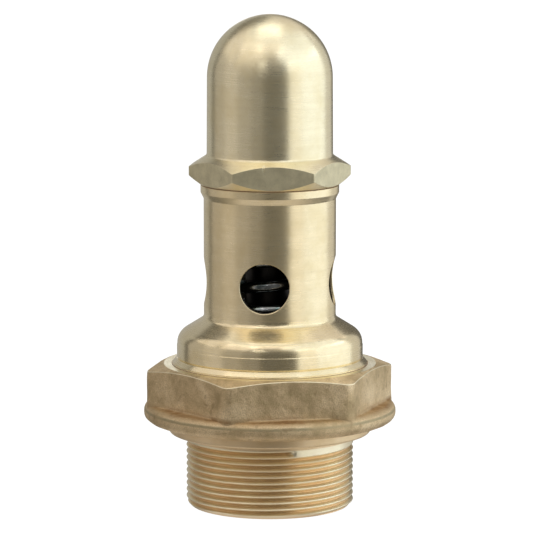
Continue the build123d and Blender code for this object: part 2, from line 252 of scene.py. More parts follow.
def corner_arc(here, back, ahead, rounding, steps):
    """Points of the arc that rounds the corner at here, made smaller where its sides are short."""
    back_length = np.linalg.norm(back)
    ahead_length = np.linalg.norm(ahead)
    if min(back_length, ahead_length) < 1e-6:
        return []
    back = back / back_length
    ahead = ahead / ahead_length
    half = math.acos(float(np.clip(back @ ahead, -1, 1))) / 2
    if half > math.radians(89.5) or half < math.radians(1):
        return []
    trim = min(rounding / math.tan(half), 0.999 * back_length, 0.999 * ahead_length)
    radius = trim * math.tan(half)
    inward = (back + ahead) / np.linalg.norm(back + ahead)
    centre = here + inward * radius / math.sin(half)
    from_centre = here + back * trim - centre
    turn = math.pi - 2 * half
    if from_centre[0] * ahead[1] - from_centre[1] * ahead[0] < 0:
        turn = -turn
    arc = []
    for k in range(steps + 1):
        c = math.cos(turn * k / steps)
        s = math.sin(turn * k / steps)
        spun = (from_centre[0] * c - from_centre[1] * s, from_centre[0] * s + from_centre[1] * c)
        arc.append(centre + np.array(spun))
    return arc


def hex_reach(flat, degrees, face_deg, corner_round):
    """Distance from the axis to a hexagon's side in one direction.

    The flats face face_deg and every 60 degrees on."""
    off = abs((degrees - face_deg + 30) % 60 - 30)
    if not corner_round:
        return flat / math.cos(math.radians(off))
    centre = (flat - corner_round) / math.cos(math.radians(30))
    tangent = math.degrees(math.atan(centre * math.sin(math.radians(30)) / flat))
    if off <= tangent:
        return flat / math.cos(math.radians(off))
    gap = math.radians(30 - off)
    return centre * math.cos(gap) + math.sqrt(corner_round**2 - (centre * math.sin(gap)) ** 2)


# ---------------------------------------------------------------- meshes


class Shell:
    """Vertices and faces of one piece, gathered patch by patch and welded into one closed mesh."""

    def __init__(self):
        self.points = []
        self.faces = []

    def grid(self, rows, wrap_rows=False, wrap_columns=False):
        """Add a patch of quads from an array of rows of points."""
        rows = np.asarray(rows, float)
        count, across = rows.shape[:2]
        base = sum(len(p) for p in self.points)
        self.points.append(rows.reshape(-1, 3))
        index = base + np.arange(count * across).reshape(count, across)
        if wrap_rows:
            index = np.vstack([index, index[:1]])
        if wrap_columns:
            index = np.hstack([index, index[:, :1]])
        quads = np.stack([index[:-1, :-1], index[:-1, 1:], index[1:, 1:], index[1:, :-1]], axis=-1)
        self.faces.append(quads.reshape(-1, 4))

    def turned(self, outline, columns):
        """Add a turned surface. outline(degrees) gives its (radius, height) points in that direction."""
        rows = []
        for k in range(columns):
            degrees = 360 * k / columns
            pairs = np.array(outline(degrees))
            across = math.cos(math.radians(degrees)), math.sin(math.radians(degrees))
            rows.append(np.column_stack([pairs[:, 0] * across[0], pairs[:, 0] * across[1], pairs[:, 1]]))
        self.grid(rows, wrap_rows=True)

    def thread(self, crest_r, depth, pitch, span, columns, limit, groove_z=0.0, end=None, per_pitch=10):
        """Add a right-hand external thread between the heights in span, its rows running along the helix.

        limit(height) is the most that the radius may be there. groove_z is the height of a groove at
        0 degrees. end is (turn in radians from 0 degrees at groove_z, fade in radians) of the run-out."""
        bottom, top = span
        first = math.floor((bottom - groove_z) / pitch - 1) * per_pitch
        last = math.ceil((top - groove_z) / pitch + 1) * per_pitch
        steps = np.arange(first, last + 1) / per_pitch
        rows = []
        for k in range(columns + 1):
            angle = 2 * math.pi * k / columns
            z = np.clip(groove_z + pitch * (steps + angle / (2 * math.pi)), bottom, top)
            place = (z - groove_z) / pitch - angle / (2 * math.pi)
            groove = np.round(place)
            cut = depth * 0.5 * (1 + np.cos(2 * math.pi * (place - groove)))
            if end:
                left = np.clip((end[0] - (groove * 2 * math.pi + angle)) / end[1], 0, 1)
                cut = cut * left * left * (3 - 2 * left)
            r = np.minimum(crest_r - cut, limit(z))
            rows.append(np.column_stack([r * math.cos(angle), r * math.sin(angle), z]))
        self.grid(rows)

    def object(self, name, materials, pick=None, shape=None):
        """Weld everything into one mesh object in metres.

        pick(centres, normals) gives each face's material number; shape(points) moves the points."""
        points = np.vstack(self.points)
        if shape:
            points = shape(points)
        mesh = bpy.data.meshes.new(name)
        mesh.from_pydata((points * MM).tolist(), [], np.vstack(self.faces).tolist())
        work = bmesh.new()
        work.from_mesh(mesh)
        bmesh.ops.remove_doubles(work, verts=work.verts, dist=2e-6)
        bmesh.ops.dissolve_degenerate(work, edges=work.edges, dist=1e-6)
        bmesh.ops.recalc_face_normals(work, faces=work.faces)
        work.to_mesh(mesh)
        work.free()
        mesh.shade_smooth()
        mesh.set_sharp_from_angle(angle=math.radians(SHARP_DEG))
        for material in materials:
            mesh.materials.append(material)
        if pick:
            centres = np.array([p.center for p in mesh.polygons]) / MM
            normals = np.array([p.normal for p in mesh.polygons])
            mesh.polygons.foreach_set("material_index", pick(centres, normals).astype(np.int32))
        thing = bpy.data.objects.new(name, mesh)
        bpy.context.scene.collection.objects.link(thing)
        return thing


# ---------------------------------------------------------------- shader helpers


class Paint:
    """A node material with one Principled shader, in object coordinates."""

    def __init__(self, name, metallic, roughness, **sockets):
        self.material = bpy.data.materials.new(name)
        self.material.use_nodes = True
        self.nodes = self.material.node_tree.nodes
        self.links = self.material.node_tree.links
        self.shader = next(n for n in self.nodes if n.type == "BSDF_PRINCIPLED")
        self.shader.inputs["Metallic"].default_value = metallic
        self.shader.inputs["Roughness"].default_value = roughness
        for socket, value in sockets.items():
            self.shader.inputs[socket.replace("_", " ")].default_value = value
        self.place = self.nodes.new("ShaderNodeTexCoord").outputs["Object"]

    def link(self, source, target):
        self.links.new(source, target)

    def maths(self, operation, first, second=0.0, clamp=False):
        node = self.nodes.new("ShaderNodeMath")
        node.operation = operation
        node.use_clamp = clamp
        for socket, value in zip(node.inputs, (first, second)):
            if isinstance(value, (int, float)):
                socket.default_value = value
            else:
                self.link(value, socket)
        return node.outputs[0]

    def lathe_place(self, along=1.0):
        """Coordinates that are the same all round the axis, so that noise on them makes turning lines."""
        split = self.nodes.new("ShaderNodeSeparateXYZ")
        self.link(self.place, split.inputs[0])
        radius = self.maths(
            "SQRT",
            self.maths(
                "ADD",
                self.maths("MULTIPLY", split.outputs[0], split.outputs[0]),
                self.maths("MULTIPLY", split.outputs[1], split.outputs[1]),
            ),
        )
        angle = self.maths("ARCTAN2", split.outputs[1], split.outputs[0])
        join = self.nodes.new("ShaderNodeCombineXYZ")
        self.link(radius, join.inputs[0])
        self.link(self.maths("MULTIPLY", angle, along), join.inputs[1])
        self.link(split.outputs[2], join.inputs[2])
        return join.outputs[0], split.outputs[2], radius

    def noise(self, place, scale, detail=2.0, roughness=0.5):
        node = self.nodes.new("ShaderNodeTexNoise")
        node.inputs["Scale"].default_value = scale
        node.inputs["Detail"].default_value = detail
        node.inputs["Roughness"].default_value = roughness
        self.link(place, node.inputs["Vector"])
        return node.outputs["Fac"]

    def ramp(self, value, stops):
        """Colours by value, from (position, colour) stops."""
        node = self.nodes.new("ShaderNodeValToRGB")
        ramp = node.color_ramp
        while len(ramp.elements) < len(stops):
            ramp.elements.new(0.5)
        for element, (position, colour) in zip(ramp.elements, stops):
            element.position = position
            element.color = (*colour, 1.0)
        self.link(value, node.inputs["Fac"])
        return node.outputs["Color"]

    def span(self, value, low_in, high_in, low_out, high_out):
        node = self.nodes.new("ShaderNodeMapRange")
        for socket, number in zip(node.inputs[1:5], (low_in, high_in, low_out, high_out)):
            socket.default_value = number
        self.link(value, node.inputs[0])
        return node.outputs[0]

    def mix(self, share, first, second, kind="MIX"):
        node = self.nodes.new("ShaderNodeMix")
        node.data_type = "RGBA"
        node.blend_type = kind
        for socket, value in ((node.inputs[0], share), (node.inputs[6], first), (node.inputs[7], second)):
            if isinstance(value, (int, float)):
                socket.default_value = value
            elif isinstance(value, tuple):
                socket.default_value = (*value, 1.0)
            else:
                self.link(value, socket)
        return node.outputs[2]

    def colour(self, value):
        self.link(value, self.shader.inputs["Base Color"])

    def rough(self, value):
        self.link(value, self.shader.inputs["Roughness"])

    def bump(self, *layers):
        """Bumps one on another, from (height, distance in metres, strength) layers."""
        normal = None
        for height, distance, strength in layers:
            node = self.nodes.new("ShaderNodeBump")
            node.inputs["Distance"].default_value = distance
            node.inputs["Strength"].default_value = strength
            self.link(height, node.inputs["Height"])
            if normal is not None:
                self.link(normal, node.inputs["Normal"])
            normal = node.outputs["Normal"]
        self.link(normal, self.shader.inputs["Normal"])


def shade(colour, factor):
    """A colour made lighter or darker."""
    return tuple(min(1.0, c * factor) for c in colour)


# ---------------------------------------------------------------- materials


def turned_brass(name, colour, roughness=0.29):
    """Satin brass straight from the lathe: fine lines round the axis, which smear reflections across them."""
    paint = Paint(name, 1.0, roughness, Anisotropic=0.55, Anisotropic_Rotation=0.25)
    rings, _, _ = paint.lathe_place(0.0006)
    fine = paint.noise(rings, 5200, 3.0, 0.65)
    broad = paint.noise(rings, 620, 2.0, 0.6)
    blotch = paint.noise(paint.place, 95, 5.0, 0.68)
    stain = paint.span(blotch, 0.42, 0.66, 0.0, 0.55)
    speck = paint.span(paint.noise(paint.place, 1100, 2.0, 0.6), 0.66, 0.74, 0.0, 0.22)
    base = paint.ramp(broad, [(0.30, shade(colour, 0.955)), (0.70, shade(colour, 1.03))])
    warm = (colour[0] * 0.86, colour[1] * 0.82, colour[2] * 0.70)
    paint.colour(paint.mix(speck, paint.mix(stain, base, warm), shade(warm, 0.62)))
    paint.rough(
        paint.maths(
            "ADD",
            paint.span(fine, 0.3, 0.7, roughness - 0.05, roughness + 0.06),
            paint.span(blotch, 0.4, 0.8, 0.0, 0.07),
        )
    )
    dent = paint.noise(paint.place, 210, 3.0, 0.6)
    paint.bump((dent, 0.00012, 0.16), (broad, 0.00004, 0.12), (fine, 0.000012, 0.4))
    return paint.material


def matte_flat_brass(name):
    """The cap's spanner flats: milled, dulled and slightly green."""
    paint = Paint(name, 1.0, 0.5)
    grain = paint.noise(paint.place, 2400, 3.0, 0.7)
    cloud = paint.noise(paint.place, 260, 3.0, 0.6)
    base = paint.ramp(cloud, [(0.3, (0.66, 0.60, 0.40)), (0.7, (0.84, 0.77, 0.53))])
    speck = paint.span(grain, 0.62, 0.74, 0.0, 0.5)
    paint.colour(paint.mix(speck, base, (0.40, 0.36, 0.23)))
    paint.rough(paint.span(grain, 0.3, 0.7, 0.42, 0.60))
    paint.bump((cloud, 0.00008, 0.3), (grain, 0.00003, 0.5))
    return paint.material


def cast_brass(name):
    """Sand-cast brass: grainy skin with pits, brown in the hollows, brighter where it is rubbed."""
    paint = Paint(name, 1.0, 0.45)
    _, height, _ = paint.lathe_place()
    sand = paint.noise(paint.place, 2300, 4.0, 0.7)
    grit = paint.noise(paint.place, 640, 2.0, 0.5)
    cloud = paint.noise(paint.place, 90, 4.0, 0.65)
    pits = paint.span(paint.noise(paint.place, 330, 1.0, 0.4), 0.66, 0.76, 0.0, 1.0)
    base = paint.ramp(
        cloud,
        [(0.30, (0.53, 0.41, 0.23)), (0.48, (0.76, 0.60, 0.36)), (0.66, (0.95, 0.78, 0.51))],
    )
    dirt = paint.span(sand, 0.38, 0.56, 0.5, 0.0)
    base = paint.mix(dirt, base, (0.42, 0.30, 0.16))
    from_joint = paint.maths("ABSOLUTE", paint.maths("SUBTRACT", height, FLANGE_TOP_Z * MM))
    near_joint = paint.maths("SUBTRACT", 1.0, paint.span(from_joint, 0.0, 0.0016, 0.0, 1.0), clamp=True)
    stain = paint.maths("MULTIPLY", near_joint, paint.span(cloud, 0.45, 0.65, 0.25, 0.95), clamp=True)
    base = paint.mix(stain, base, (0.38, 0.23, 0.10))
    from_parting = paint.maths("ABSOLUTE", paint.maths("SUBTRACT", height, PARTING_Z * MM))
    parting = paint.span(from_parting, 0.0002, 0.0007, 0.75, 0.0)
    patchy = paint.maths("MULTIPLY", parting, paint.span(cloud, 0.35, 0.6, 0.3, 1.0))
    base = paint.mix(patchy, base, (0.30, 0.26, 0.15))
    paint.colour(paint.mix(paint.maths("MULTIPLY", pits, 0.35), base, (0.30, 0.20, 0.10)))
    paint.rough(paint.span(sand, 0.3, 0.7, 0.46, 0.66))
    paint.bump((pits, -0.00022, 0.4), (grit, 0.00018, 0.28), (sand, 0.00015, 0.95))
    return paint.material


def threaded_brass(name, colour):
    """Brass cut by a threading die: golden, with a slight smear along the cut, and painted shade darkening
    the thread roots.
    """
    paint = Paint(name, 1.0, 0.3)
    rings, _, radius = paint.lathe_place(0.004)
    tear = paint.noise(rings, 2600, 3.0, 0.65)
    cloud = paint.noise(paint.place, 150, 3.0, 0.6)
    base = paint.ramp(cloud, [(0.3, shade(colour, 0.93)), (0.7, shade(colour, 1.05))])
    # Painted shade: colour darker and more orange towards the roots of the thread grooves.
    painted_root_shade = paint.span(radius, (THREAD_R - THREAD_DEPTH) * MM, (THREAD_R - 0.35) * MM, 0.65, 0.0)
    paint.colour(paint.mix(painted_root_shade, base, (colour[0] * 0.86, colour[1] * 0.64, colour[2] * 0.44)))
    paint.rough(paint.span(tear, 0.3, 0.7, 0.30, 0.46))
    paint.bump((tear, 0.00002, 0.6),)
    return paint.material


def painted_shade_brass(name):
    """Inside walls: brass painted almost black, which is painted shade for the dark inside; turning lines
    vary the roughness and bumps.
    """
    paint = Paint(name, 0.85, 0.5)
    rings, _, _ = paint.lathe_place(0.001)
    lines = paint.noise(rings, 1800, 2.0, 0.6)
    cloud = paint.noise(paint.place, 200, 3.0, 0.6)
    # Painted shade: the inside walls are coloured almost black because the inside is dark.
    paint.colour(paint.ramp(cloud, [(0.3, (0.035, 0.028, 0.018)), (0.7, (0.10, 0.08, 0.05))]))
    paint.rough(paint.span(lines, 0.3, 0.7, 0.42, 0.58))
    paint.bump((lines, 0.00003, 0.5),)
    return paint.material


def bore_brass(name):
    """The machined inlet passage."""
    paint = Paint(name, 1.0, 0.38)
    rings, _, _ = paint.lathe_place(0.001)
    lines = paint.noise(rings, 1500, 3.0, 0.6)
    cloud = paint.noise(paint.place, 120, 3.0, 0.6)
    paint.colour(paint.ramp(cloud, [(0.3, (0.55, 0.42, 0.24)), (0.7, (0.72, 0.58, 0.36))]))
    paint.rough(paint.span(lines, 0.3, 0.7, 0.30, 0.48))
    paint.bump((lines, 0.00006, 0.6),)
    return paint.material


def spring_steel(name):
    """Oiled spring wire, dark in patches, with drawing marks and a faint blue-green film."""
    paint = Paint(name, 1.0, 0.14, Coat_Weight=0.6, Coat_Roughness=0.05)
    cloud = paint.noise(paint.place, 160, 3.0, 0.6)
    scratch = paint.noise(paint.place, 1400, 3.0, 0.7)
    film = [(0.35, (0.07, 0.09, 0.09)), (0.50, (0.46, 0.48, 0.49)), (0.75, (0.16, 0.34, 0.31))]
    paint.colour(paint.ramp(cloud, film))
    paint.rough(paint.span(scratch, 0.3, 0.7, 0.10, 0.24))
    paint.bump((scratch, 0.00001, 0.5),)
    return paint.material


def plain_metal(name, colour, roughness, mark=2200):
    """Machined small parts: turning lines, light scuffs."""
    paint = Paint(name, 1.0, roughness)
    rings, _, _ = paint.lathe_place(0.001)
    lines = paint.noise(rings, mark, 3.0, 0.6)
    cloud = paint.noise(paint.place, 240, 3.0, 0.6)
    paint.colour(paint.ramp(cloud, [(0.3, shade(colour, 0.86)), (0.7, shade(colour, 1.06))]))
    paint.rough(paint.span(lines, 0.3, 0.7, roughness - 0.06, roughness + 0.09))
    paint.bump((lines, 0.00002, 0.5),)
    return paint.material


def soft_matte(name, dark, light, roughness, scale):
    """Rubber and pressed fibre: matte, mottled and slightly rough."""
    paint = Paint(name, 0.0, roughness)
    cloud = paint.noise(paint.place, scale, 4.0, 0.7)
    grain = paint.noise(paint.place, scale * 6, 2.0, 0.6)
    paint.colour(paint.ramp(cloud, [(0.3, dark), (0.7, light)]))
    paint.rough(paint.span(grain, 0.3, 0.7, roughness - 0.08, roughness + 0.1))
    paint.bump((grain, 0.00003, 0.6),)
    return paint.material


CAP_BRASS = turned_brass("cap_brass", (0.98, 0.88, 0.61))
TUBE_BRASS = turned_brass("tube_brass", (0.97, 0.83, 0.54))
BELL_BRASS = turned_brass("bell_brass", (0.98, 0.84, 0.55), 0.22)
INNER_BRASS = turned_brass("inner_turned_brass", (0.85, 0.70, 0.42), 0.3)
FLAT_BRASS = matte_flat_brass("cap_flat_brass")
CAST_BRASS = cast_brass("cast_brass_skin")
THREAD_BRASS = threaded_brass("thread_brass", (1.0, 0.87, 0.62))
BOSS_BRASS = turned_brass("boss_brass", (0.96, 0.77, 0.50), 0.48)
RUBBED_BRASS = plain_metal("rubbed_edge_brass", (1.0, 0.86, 0.60), 0.34)
# Almost black brass for inside walls and hidden inner parts: painted shade.
PAINTED_SHADE_BRASS = painted_shade_brass("inside_brass")
PASSAGE_BRASS = bore_brass("passage_brass")
SPRING_STEEL = spring_steel("oiled_spring_wire")
STAINLESS = plain_metal("stainless", (0.62, 0.61, 0.59), 0.26)
ZINC = plain_metal("zinc_plate", (0.55, 0.56, 0.55), 0.36, 1500)
BLACK_STEEL = plain_metal("blackened_steel", (0.030, 0.027, 0.025), 0.34, 1500)
RING_STEEL = plain_metal("ring_steel", (0.20, 0.20, 0.21), 0.3)
COPPER = plain_metal("soft_copper", (0.80, 0.42, 0.27), 0.4)
RUBBER = soft_matte("seal_rubber_black", (0.012, 0.012, 0.012), (0.028, 0.027, 0.026), 0.6, 300)
FIBRE = soft_matte("gasket_fibre", (0.16, 0.085, 0.045), (0.27, 0.16, 0.09), 0.7, 500)


# ---------------------------------------------------------------- inlet body


def body_outline(degrees):
    """Everything but the thread: boss, flange, hexagon, top, inside and lower end, in one direction."""
    side = hex_reach(BODY_FLAT, degrees, BODY_HEX_DEG - 90, BODY_CORNER_ROUND)
    top_side = side - (BODY_TOP_Z - FLANGE_TOP_Z) * math.tan(math.radians(BODY_DRAFT_DEG))
    shoulder_z = BODY_TOP_Z - (top_side - BODY_FLAT_RING_R) * math.tan(math.radians(BODY_CHAMFER_DEG))
    bull_r = FLANGE_R - FLANGE_ROUND
    bull_z = FLANGE_TOP_Z - FLANGE_ROUND
    flange = rounded(
        [
            (THREAD_R, THREAD_TOP_Z, 0, 2),
            (THREAD_R, BOSS_Z, 0.25, 4),
            (BOSS_R, BOSS_Z, 0.8, 6),
            (BOSS_R, FLANGE_Z, 0.6, 6),
            (FLANGE_R, FLANGE_Z, FLANGE_ROUND, 4),
            (FLANGE_R, bull_z),
        ]
    )
    foot_z = FLANGE_TOP_Z if side < bull_r else bull_z + math.sqrt(FLANGE_ROUND**2 - (side - bull_r) ** 2)
    for k in range(1, 9):
        turn = math.radians(90 * k / 8)
        r = bull_r + FLANGE_ROUND * math.cos(turn)
        z = bull_z + FLANGE_ROUND * math.sin(turn)
        flange.append((r, z) if r > side + 0.05 else (side + 0.05, foot_z + 0.02))
    ledge = flange[-1]
    upper = rounded(
        [
            (ledge[0], ledge[1], 0, 12),
            (side, foot_z, 0.9, 26),
            (top_side, shoulder_z, 0.42, 12),
            (BODY_FLAT_RING_R, BODY_TOP_Z, 0.1, 3),
            (GASKET_RECESS_R, BODY_TOP_Z, 0.05, 1),
            (GASKET_RECESS_R, GASKET_FLOOR_Z, 0.05, 2),
            (HOUSING_THREAD_R + HOUSING_THREAD_MOUTH, GASKET_FLOOR_Z, 0.0, 1),
            (HOUSING_THREAD_R, GASKET_FLOOR_Z - HOUSING_THREAD_MOUTH, 0.0, 4),
            (HOUSING_THREAD_R, HOUSING_THREAD_Z, 0.0, 1),
            (CHAMBER_R, CHAMBER_TOP_Z, 0.0, 1),
            (CHAMBER_R, CHAMBER_Z, 0.0, 1),
            (SEAT_POCKET_R, CHAMBER_Z, 0.0, 4),
            (SEAT_POCKET_R, SEAT_LEDGE_Z, 0.0, 1),
            (BORE_R, SEAT_LEDGE_Z, 0.3, 8),
            (BORE_R, BORE_ENTRY, 0.0, 1),
            (BORE_R + BORE_ENTRY, 0.0, 0.0, 3),
            (THREAD_ENTRY_R, 0.0),
        ]
    )
    return flange[:-1] + upper


def body_skin(points):
    """Slight waviness and dents of a sand casting, only on the flange and the hexagon."""
    moved = points.copy()
    radius = np.hypot(points[:, 0], points[:, 1])
    cast = (points[:, 2] > FLANGE_Z - 0.01) & (points[:, 2] < BODY_TOP_Z - 0.15) & (radius > BOSS_R + 0.3)
    for i in np.flatnonzero(cast):
        x, y, z = points[i]
        wave = noise.noise(Vector((x, y, z)) * 0.16) * 0.16
        lump = noise.noise(Vector((x, y, z)) * 0.55 + Vector((7, 3, 1))) * 0.07
        push = min(wave + lump, 0.0) if radius[i] > FLANGE_R - 0.4 else wave + lump - 0.08
        moved[i, :2] = points[i, :2] * (1 + push / radius[i])
    return moved


def body_paint(centres, normals):
    """0 cast skin, 1 thread, 2 turned boss, 3 inside, 4 rubbed edges of the hexagon, 5 turned top ring."""
    radius = np.hypot(centres[:, 0], centres[:, 1])
    height = centres[:, 2]
    inside = (radius < BORE_R + 0.3) | ((radius < HOUSING_THREAD_R + 0.02) & (height > THREAD_TOP_Z + 2))
    paint = np.zeros(len(centres))
    tilt = normals[:, 2]
    edge = (height > BODY_TOP_Z - BODY_EDGE_DROP) & (radius > BODY_FLAT_RING_R)
    paint[edge & (tilt > 0.2) & (tilt < 0.88)] = 4
    paint[(height > BODY_TOP_Z - 0.02) & (radius > 30)] = 5
    paint[height < FLANGE_Z - 0.3] = 2
    paint[(height < THREAD_TOP_Z) & ~inside] = 1
    paint[inside] = 3
    return paint


def make_body():
    shell = Shell()
    shell.turned(body_outline, COLUMNS)
    end_angle = math.radians(RUNOUT_DEG) % (2 * math.pi)
    groove_z = RUNOUT_Z - THREAD_PITCH * end_angle / (2 * math.pi)
    shell.thread(
        THREAD_R,
        THREAD_DEPTH,
        THREAD_PITCH,
        (0.0, THREAD_TOP_Z),
        COLUMNS,
        lambda z: np.minimum(THREAD_ENTRY_R + z, THREAD_R),
        groove_z,
        (end_angle, math.radians(RUNOUT_FADE_DEG)),
    )
    finishes = [CAST_BRASS, THREAD_BRASS, BOSS_BRASS, PASSAGE_BRASS, RUBBED_BRASS, CAP_BRASS]
    body = shell.object("inlet_body_cast", finishes, body_paint, body_skin)
    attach(body, "housing")
    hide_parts("inlet_body")


# ---------------------------------------------------------------- spring housing


def housing_upper(_):
    """From the top of the port band, up over the collar and the neck, and down the inside."""
    neck_foot_z = COLLAR_TOP_Z + RELIEF_H
    return rounded(
        [
            (TUBE_R, PORT_Z + PORT_BAND, 0, 4),
            (TUBE_R, COLLAR_CONE_Z, 0.5, 4),
            (COLLAR_R, COLLAR_Z, 0.5, 3),
            (COLLAR_R, COLLAR_TOP_Z, 0.12, 2),
            (RELIEF_R, COLLAR_TOP_Z, 0.15, 1),
            (RELIEF_R, neck_foot_z, 0.1, 1),
            (NECK_R - 0.02, neck_foot_z + NECK_LEAD - 0.05, 0, 1),
            (NECK_R, neck_foot_z + NECK_LEAD),
        ]
    )


def housing_top(_):
    """From the top of the neck's thread down to the top of the port band, inside."""
    return rounded(
        [
            (NECK_R - NECK_DEPTH, NECK_TOP_Z, 0, 2),
            (ADJUST_HOLE_R + ADJUST_HOLE_EDGE, NECK_TOP_Z, 0, 1),
            (ADJUST_HOLE_R, NECK_TOP_Z - ADJUST_HOLE_EDGE, 0, 4),
            (ADJUST_HOLE_R, CEILING_Z, 0.2, 3),
            (TUBE_BORE_R, CEILING_Z, 1.5, 4),
            (TUBE_BORE_R, PORT_Z + PORT_BAND),
        ]
    )


def housing_lower(_):
    """From the foot of the port band, down the inside, round the foot and up the bell."""
    slope = math.tan(math.radians(SHOULDER_DEG))
    return rounded(
        [
            (TUBE_BORE_R, PORT_Z - PORT_BAND, 0, 2),
            (TUBE_BORE_R, FUNNEL_TOP_Z, 0.5, 3),
            (FUNNEL_R, GUIDE_SEAT_Z, 0.2, 1),
            (GUIDE_SEAT_R, GUIDE_SEAT_Z, 0.1, 6),
            (GUIDE_SEAT_R, SPIGOT_Z, 0.1, 1),
            (SPIGOT_R - SPIGOT_EDGE, SPIGOT_Z, 0.1, 1),
            (SPIGOT_R, SPIGOT_Z + SPIGOT_EDGE, 0, 4),
            (SPIGOT_R, FOOT_Z, 0.1, 3),
            (FOOT_R, FOOT_Z, 0.25, 2),
            (BELL_R + 0.1, FOOT_TOP_Z, 0.05, 1),
            (BELL_R - FOOT_GROOVE, FOOT_GROOVE_Z, 0.05, 1),
            (BELL_R, FOOT_GROOVE_TOP_Z, 0.05, 3),
            (BELL_R, BELL_LINE_Z, 0.3, 1),
            (BELL_TOP_R, BELL_LINE_TOP_Z, 0.3, 2),
            (BELL_TOP_R, BELL_TOP_Z, BELL_ROUND, 3),
            (SHOULDER_BEND_R, BELL_TOP_Z + (BELL_TOP_R - SHOULDER_BEND_R) * slope, 0.8, 2),
            (TUBE_R, BELL_TOP_Z + (BELL_TOP_R - TUBE_R) * slope, SHOULDER_FILLET, 2),
            (TUBE_R, PORT_Z - PORT_BAND),
        ],
        10,
    )


def port_patch(shell, turn_deg, columns_per_side, rows_per_side):
    """The quarter of the tube round one port: rings on the inner wall, in the port and on the outer wall."""
    across = np.linspace(-45, 45, columns_per_side + 1)
    up = np.linspace(-PORT_BAND, PORT_BAND, rows_per_side + 1)
    edge = (
        [(a, -PORT_BAND) for a in across[:-1]]
        + [(45.0, z) for z in up[:-1]]
        + [(a, PORT_BAND) for a in across[:0:-1]]
        + [(-45.0, z) for z in up[:0:-1]]
    )
    edge = np.array(edge)
    spin = np.arctan2(edge[:, 1], np.radians(edge[:, 0]) * TUBE_R)

    def on_wall(wall_r, hole_r, share):
        """Ring on a wall, from the hole at share 0 to the quarter's edge at share 1."""
        hole_deg = np.degrees(np.arcsin(hole_r * np.cos(spin) / wall_r))
        hole_z = hole_r * np.sin(spin)
        degrees = np.radians(hole_deg + (edge[:, 0] - hole_deg) * share)
        z = hole_z + (edge[:, 1] - hole_z) * share
        return np.column_stack([wall_r * np.cos(degrees), wall_r * np.sin(degrees), z])

    def in_hole(wall_r, inset):
        y = PORT_R * np.cos(spin)
        x = np.sqrt(wall_r**2 - y**2) - inset
        return np.column_stack([x, y, PORT_R * np.sin(spin)])

    shares = np.array([1.0, 0.75, 0.5, 0.3, 0.15, 0.06, 0.0])
    rings = [on_wall(TUBE_BORE_R, PORT_R + PORT_EDGE, s) for s in shares]
    rings.append(in_hole(TUBE_BORE_R, -PORT_EDGE))
    inner, outer = rings[-1], in_hole(TUBE_R, PORT_EDGE)
    rings += [inner + (outer - inner) * k / 4 for k in range(1, 4)]
    rings.append(outer)
    middle = (in_hole(TUBE_R, PORT_EDGE) + on_wall(TUBE_R, PORT_R + PORT_EDGE, 0.0)) / 2
    push = middle[:, :2] / np.linalg.norm(middle[:, :2], axis=1)[:, None]
    middle[:, :2] += push * PORT_EDGE * 0.2
    rings.append(middle)
    rings += [on_wall(TUBE_R, PORT_R + PORT_EDGE, s) for s in shares[::-1]]
    turn = math.radians(turn_deg)
    spun = []
    for ring in rings:
        x = ring[:, 0] * math.cos(turn) - ring[:, 1] * math.sin(turn)
        y = ring[:, 0] * math.sin(turn) + ring[:, 1] * math.cos(turn)
        spun.append(np.column_stack([x, y, ring[:, 2] + PORT_Z]))
    shell.grid(spun, wrap_columns=True)


def housing_paint(centres, normals):
    """0 tube, 1 bell and foot, 2 inside (painted shade, almost black), 3 neck."""
    radius = np.hypot(centres[:, 0], centres[:, 1])
    height = centres[:, 2]
    paint = np.zeros(len(centres))
    paint[height < SHOULDER_TOP_Z] = 1
    inward = (centres[:, 0] * normals[:, 0] + centres[:, 1] * normals[:, 1]) < 0
    inside = (radius < TUBE_R - 1.0) & (height < CEILING_Z + 0.1)
    inside |= inward & (height < SHOULDER_TOP_Z)
    paint[inside] = 2
    paint[height > COLLAR_TOP_Z - 0.1] = 3
    return paint


def make_housing():
    shell = Shell()
    shell.turned(housing_upper, HOUSING_COLUMNS)
    shell.turned(housing_top, HOUSING_COLUMNS)
    shell.turned(housing_lower, HOUSING_COLUMNS)
    neck_foot_z = COLLAR_TOP_Z + RELIEF_H + NECK_LEAD
    shell.thread(
        NECK_R,
        NECK_DEPTH,
        NECK_PITCH,
        (neck_foot_z, NECK_TOP_Z),
        HOUSING_COLUMNS,
        lambda z: np.minimum(NECK_R - NECK_DEPTH + (NECK_TOP_Z - z), NECK_R),
        neck_foot_z,
        per_pitch=8,
    )
    for quarter in range(4):
        port_patch(shell, 90 * quarter, HOUSING_COLUMNS // 4, 48)
    # Slot 2, the inside walls, takes the almost black painted-shade brass.
    finishes = [TUBE_BRASS, BELL_BRASS, PAINTED_SHADE_BRASS, INNER_BRASS]
    housing = shell.object("spring_housing_turned", finishes, housing_paint)
    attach(housing, "housing")
    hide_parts("spring_housing")


# ---------------------------------------------------------------- cap


